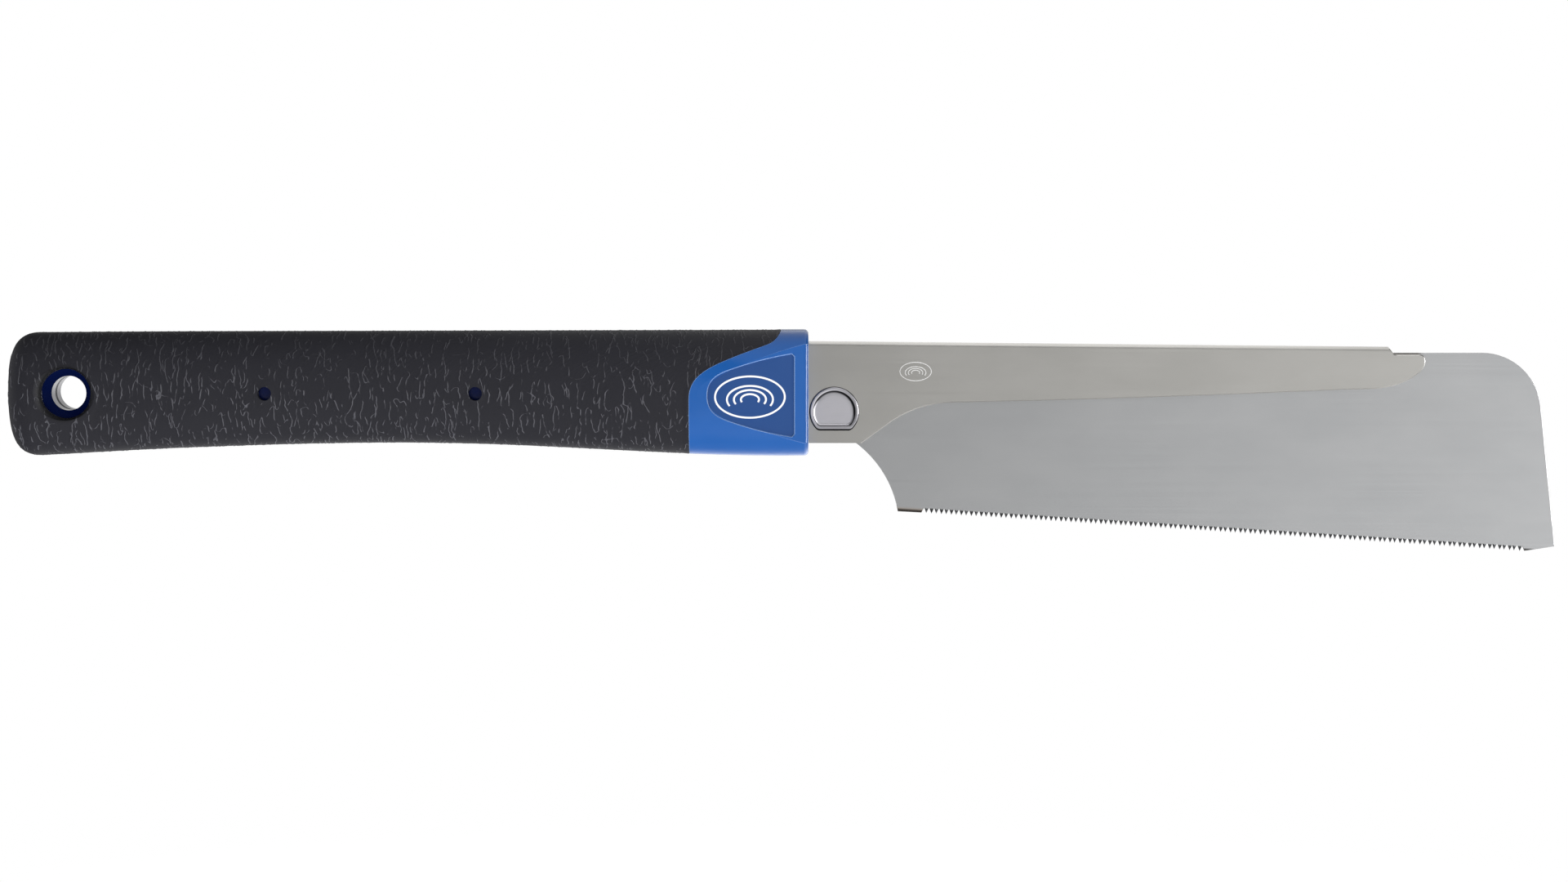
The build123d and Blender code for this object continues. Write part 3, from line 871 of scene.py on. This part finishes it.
def steel_material(name, dark, light, roughness, streak=(60.0, 1.2, 0.10), edge_wear_and_highlight=0.25):
    """Satin steel: fine streaks along the saw, faint cloudiness, and edges lightened partly for wear and
    partly as a painted highlight.
    """
    material, tree, shader, position = new_material(name)
    clouds = noise_at(tree, scaled(tree, position, 26.0, 12.0, 12.0), detail=4.0, roughness=0.55)
    streaks = noise_at(tree, scaled(tree, position, *streak), detail=3.0)
    specks = noise_at(tree, scaled(tree, position, 0.12, 0.12, 0.12), detail=1.0)
    edges = edge_mask(tree, 0.20 * MM)
    base = mix(tree, ramp(tree, clouds, 0.25, 0.75), dark, light)
    base = mix(tree, ramp(tree, streaks, 0.35, 0.75, 0.0, 0.25), base, dark)
    # Lighter edges: partly wear, partly a painted highlight.
    base = mix(tree, maths(tree, "MULTIPLY", edges, edge_wear_and_highlight), base, (0.86, 0.86, 0.85, 1))
    shader.inputs["Metallic"].default_value = 1.0
    low, high = roughness
    put(tree, shader.inputs["Roughness"], ramp(tree, streaks, 0.3, 0.7, low, high))
    fine = bump(tree, streaks, 0.0010 * MM)
    put(tree, shader.inputs["Normal"], bump(tree, specks, 0.0006 * MM, normal=fine))
    put(tree, shader.inputs["Base Color"], base)
    return material, tree, shader, position, base


def back_material():
    """Warm satin plating of the folded back, with painted shade on its edges that face down."""
    material, tree, shader, _, base = steel_material(
        "back_satin_steel", (0.487, 0.479, 0.455, 1), (0.531, 0.522, 0.498, 1), (0.36, 0.42), edge_wear_and_highlight=0.10
    )
    normal = add_node(tree, "ShaderNodeNewGeometry").outputs["True Normal"]
    down = add_node(tree, "ShaderNodeSeparateXYZ", Vector=normal).outputs["Z"]
    # Painted shade: faces that lean down are darkened.
    base = mix(tree, ramp(tree, down, -0.35, -0.55, 0.0, 0.55), base, (0.17, 0.165, 0.155, 1))
    put(tree, shader.inputs["Base Color"], base)
    return material


def blade_material():
    """Cooler satin steel, dark on the hardened teeth and lands, with painted shade on the teeth's bevelled
    facets, and darker along its top strip under the fold.
    """
    material, tree, shader, position, base = steel_material(
        "blade_satin_steel", (0.492, 0.500, 0.508, 1), (0.529, 0.535, 0.541, 1), (0.33, 0.39)
    )
    parts = add_node(tree, "ShaderNodeSeparateXYZ", Vector=position).outputs
    normal = add_node(tree, "ShaderNodeNewGeometry").outputs["True Normal"]
    facing = maths(tree, "ABSOLUTE", add_node(tree, "ShaderNodeSeparateXYZ", Vector=normal).outputs["Y"])
    fall = maths(tree, "MULTIPLY", maths(tree, "SUBTRACT", parts["X"], FIRST_TIP[0]), TOOTH_SLOPE)
    rise = maths(tree, "SUBTRACT", parts["Z"], maths(tree, "ADD", fall, FIRST_TIP[1]))
    low = ramp(tree, rise, 1.9 * MM, 1.4 * MM)
    after_first = ramp(tree, parts["X"], FIRST_TIP[0] - 0.8 * MM, FIRST_TIP[0] - 0.5 * MM)
    before_last = ramp(tree, parts["X"], LAST_TIP_X + 0.8 * MM, LAST_TIP_X + 0.5 * MM)
    between = maths(tree, "MULTIPLY", after_first, before_last)
    shaded_facets = maths(tree, "MULTIPLY", low, ramp(tree, facing, 0.96, 0.85))
    patches = noise_at(tree, scaled(tree, position, 0.5, 0.5, 0.5), detail=2.0)
    tip = ramp(tree, rise, 0.55 * MM, 0.05 * MM)
    dark = mix(tree, patches, (0.028, 0.030, 0.034, 1), (0.070, 0.070, 0.075, 1))
    tooth = mix(tree, tip, dark, (0.28, 0.28, 0.30, 1))
    bodies = maths(tree, "MULTIPLY", ramp(tree, rise, 1.42 * MM, 1.05 * MM), between)
    base = mix(tree, maths(tree, "MULTIPLY", bodies, 0.92), base, tooth)
    # Painted shade on the teeth's bevelled facets, picked out by how far they turn from the blade's face.
    base = mix(tree, maths(tree, "MULTIPLY", shaded_facets, 0.95), base, mix(tree, tip, dark, (0.20, 0.20, 0.21, 1)))
    heel = ramp(tree, parts["X"], FIRST_TIP[0] - 0.6 * MM, FIRST_TIP[0] - 1.2 * MM)
    tint = maths(tree, "MULTIPLY", heel, ramp(tree, rise, 1.5 * MM, 0.3 * MM, 0.0, 0.60))
    base = mix(tree, tint, base, (0.44, 0.30, 0.17, 1))
    toe = ramp(tree, parts["X"], LAST_TIP_X + 0.5 * MM, LAST_TIP_X + 1.1 * MM)
    toe_end = ramp(tree, parts["X"], TOE_LAND_END + 2.5 * MM, TOE_LAND_END)
    lands = maths(tree, "ADD", heel, maths(tree, "MULTIPLY", toe, toe_end))
    edge = maths(tree, "MULTIPLY", lands, ramp(tree, rise, 0.95 * MM, 0.50 * MM, 0.0, 0.93))
    base = mix(tree, edge, base, (0.050, 0.046, 0.045, 1))
    # Darker along the blade's top strip under the fold.
    top_strip_dark = maths(tree, "MULTIPLY", ramp(tree, parts["Z"], 9.30 * MM, 9.42 * MM), ramp(
        tree, parts["X"], 337.0 * MM, 335.2 * MM
    ))
    base = mix(tree, top_strip_dark, base, (0.26, 0.25, 0.24, 1))
    put(tree, shader.inputs["Base Color"], base)
    return material


def pin_material():
    """Pale smooth steel of the hook pin, with painted shadow in its seam, and painted shade and highlight on
    the sides of its dish and flange.
    """
    material, tree, shader, _, base = steel_material(
        "pin_smooth_steel", (0.74, 0.73, 0.78, 1), (0.80, 0.79, 0.84, 1), (0.30, 0.34), (3.0, 1.0, 0.3), 0.0
    )
    shade = add_node(tree, "ShaderNodeAttribute", {"attribute_name": "shade"}).outputs["Fac"]
    # Painted highlight where shade is below 0, painted shade where it is above 0.
    base = mix(tree, ramp(tree, shade, 0.0, -1.0), base, (0.97, 0.97, 0.98, 1))
    base = mix(tree, ramp(tree, shade, 0.0, 0.95), base, (0.018, 0.018, 0.020, 1))
    put(tree, shader.inputs["Base Color"], base)
    return material


def etch_material():
    """Frosted steel of the mark etched on the back."""
    return steel_material("etched_steel", (0.84, 0.84, 0.83, 1), (0.93, 0.93, 0.92, 1), (0.50, 0.58))[0]


def inner_material():
    """Plain machined steel of the hidden tang parts."""
    return steel_material(
        "inner_plain_steel", (0.40, 0.40, 0.40, 1), (0.48, 0.48, 0.48, 1), (0.40, 0.52)
    )[0]


def dress(node, material):
    """Gives a CAD node its material."""
    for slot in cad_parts[node].material_slots:
        slot.material = material


# ---------------------------------------------------------------- studio
def make_camera():
    """Camera square to the saw's side, a little above it."""
    data = bpy.data.cameras.new("camera")
    data.sensor_width = SENSOR
    place = Vector((AIM.x, -VIEW_DISTANCE, VIEW_HEIGHT))
    data.lens = SENSOR * (AIM - place).length / VIEW_WIDTH
    data.clip_start = 0.01
    data.clip_end = 20.0
    camera = bpy.data.objects.new("camera", data)
    camera.location = place
    camera.rotation_euler = (AIM - place).to_track_quat("-Z", "Y").to_euler()
    bpy.context.scene.collection.objects.link(camera)
    bpy.context.scene.camera = camera


def make_world():
    """White backdrop, with one soft light on matte surfaces and another in glossy ones."""
    world = bpy.data.worlds.new("studio")
    bpy.context.scene.world = world
    world.use_nodes = True
    tree = world.node_tree
    tree.nodes.clear()
    direction = add_node(tree, "ShaderNodeTexCoord").outputs["Generated"]
    parts = add_node(tree, "ShaderNodeSeparateXYZ", Vector=direction).outputs
    # What glossy surfaces mirror: brightest low down and about 25 degrees towards the toe from
    # square on, with some light added behind the saw and far towards the butt
    below = ramp(tree, parts["Z"], -0.70, 0.06, 1.90, 0.36)
    nadir = ramp(tree, parts["Z"], -0.98, -0.76, 0.50, 1.0)
    above = ramp(tree, parts["Z"], 0.06, 0.45, 1.0, 0.42)
    toeward = ramp(tree, parts["X"], -0.40, 0.60, 0.12, 2.05)
    toeward = maths(tree, "MULTIPLY", toeward, ramp(tree, parts["X"], 0.40, 0.62, 1.0, 0.35))
    buttward = ramp(tree, parts["X"], -0.50, -0.90, 0.0, 0.9)
    behind = ramp(tree, parts["Y"], 0.70, 0.92, 0.0, 0.55)
    upright = maths(tree, "MULTIPLY", below, nadir)
    mirrored = maths(tree, "MULTIPLY", upright, maths(tree, "MULTIPLY", above, toeward))
    mirrored = maths(tree, "ADD", maths(tree, "ADD", mirrored, behind), buttward)
    even = ramp(tree, parts["Z"], -0.7, 0.7, 1.15, 0.35)
    path = add_node(tree, "ShaderNodeLightPath").outputs
    matte = path["Is Diffuse Ray"]
    strength = maths(tree, "ADD", maths(tree, "MULTIPLY", matte, even), maths(
        tree, "MULTIPLY", maths(tree, "SUBTRACT", 1.0, matte), mirrored
    ))
    seen = path["Is Camera Ray"]
    lit = add_node(tree, "ShaderNodeBackground", Color=(1, 1, 1, 1), Strength=strength)
    white = add_node(tree, "ShaderNodeBackground", Color=(1, 1, 1, 1), Strength=1.0)
    both = tree.nodes.new("ShaderNodeMixShader")
    put(tree, both.inputs[0], seen)
    put(tree, both.inputs[1], lit.outputs[0])
    put(tree, both.inputs[2], white.outputs[0])
    output = tree.nodes.new("ShaderNodeOutputWorld")
    tree.links.new(both.outputs[0], output.inputs["Surface"])


def area_light(name, place, target, size, radiance, matte, gloss):
    """Soft rectangular light of a given radiance that lights matte surfaces, glossy ones or both."""
    data = bpy.data.lights.new(name, "AREA")
    data.shape = "RECTANGLE"
    data.size, data.size_y = size
    data.energy = radiance * 4 * size[0] * size[1]
    lamp = bpy.data.objects.new(name, data)
    lamp.location = place
    lamp.rotation_euler = (Vector(target) - Vector(place)).to_track_quat("-Z", "Y").to_euler()
    bpy.context.scene.collection.objects.link(lamp)
    lamp.visible_camera = False
    lamp.visible_diffuse = matte
    lamp.visible_glossy = gloss


def make_lights():
    """The same lights in front of the saw and behind it, and one panel over the steel."""
    for side, name in ((-1, "front"), (1, "rear")):
        key_place = (2.78, side * 1.50, 0.20)
        fill_place = (0.17, side * 0.90, -0.12)
        area_light("key_" + name, key_place, (0.18, 0, 0), (0.90, 1.20), 22.0, False, True)
        area_light("fill_" + name, fill_place, (0.17, 0, 0), (0.80, 0.50), 2.7, True, False)
    area_light("over_steel", (0.27, 0.0, 0.30), (0.27, 0, 0), (0.30, 1.0), 1.0, False, True)


def make_floor():
    """Pale round floor that fades out at its rim."""
    points, faces = [], []
    rings, steps = 8, 96
    centre = (cad_low + cad_high) / 2
    for ring in range(1, rings + 1):
        for step in range(steps):
            turn = 2 * math.pi * step / steps
            reach = FLOOR_RADIUS * ring / rings
            points.append((centre.x + reach * math.cos(turn), reach * math.sin(turn), -FLOOR_DROP))
    for ring in range(rings - 1):
        for step in range(steps):
            after = (step + 1) % steps
            a, b = ring * steps, (ring + 1) * steps
            faces.append((a + step, b + step, b + after, a + after))
    faces.append(tuple(range(steps)))
    floor = mesh_object("floor", points, faces)
    material = bpy.data.materials.new("pale_floor")
    material.use_nodes = True
    tree = material.node_tree
    tree.nodes.clear()
    position = add_node(tree, "ShaderNodeTexCoord").outputs["Object"]
    flat = vector_maths(tree, "SUBTRACT", position, (centre.x, 0, -FLOOR_DROP))
    away = add_node(tree, "ShaderNodeVectorMath", {"operation": "LENGTH"}, Vector=flat).outputs["Value"]
    matte = add_node(tree, "ShaderNodeBsdfDiffuse", Color=(0.5, 0.5, 0.5, 1))
    glow = add_node(tree, "ShaderNodeEmission", Color=(1, 1, 1, 1), Strength=0.78)
    pale = tree.nodes.new("ShaderNodeAddShader")
    tree.links.new(matte.outputs[0], pale.inputs[0])
    tree.links.new(glow.outputs[0], pale.inputs[1])
    clear = tree.nodes.new("ShaderNodeBsdfTransparent")
    fade = tree.nodes.new("ShaderNodeMixShader")
    put(tree, fade.inputs[0], ramp(tree, away, FLOOR_RADIUS * 0.45, FLOOR_RADIUS * 0.98))
    put(tree, fade.inputs[1], pale.outputs[0])
    put(tree, fade.inputs[2], clear.outputs[0])
    output = tree.nodes.new("ShaderNodeOutputMaterial")
    tree.links.new(fade.outputs[0], output.inputs["Surface"])
    floor.data.materials.append(material)
    floor.visible_diffuse = False
    floor.visible_glossy = False
    floor.visible_shadow = False


bpy.context.scene.view_settings.view_transform = "Standard"
make_camera()
make_world()
make_lights()
make_floor()
make_grip(rubber_material())
make_blade(blade_material())
make_pin(pin_material())
make_emblems("collar_print_", "handle_core", PRINT, print_material())
make_emblems("back_etch_", "folded_back", ETCH, etch_material())
dress("handle_core", collar_material())
dress("folded_back", back_material())
inner = inner_material()
for hidden in ("tang_spacer", "tang_rivets", "tang_cross_pins"):
    dress(hidden, inner)
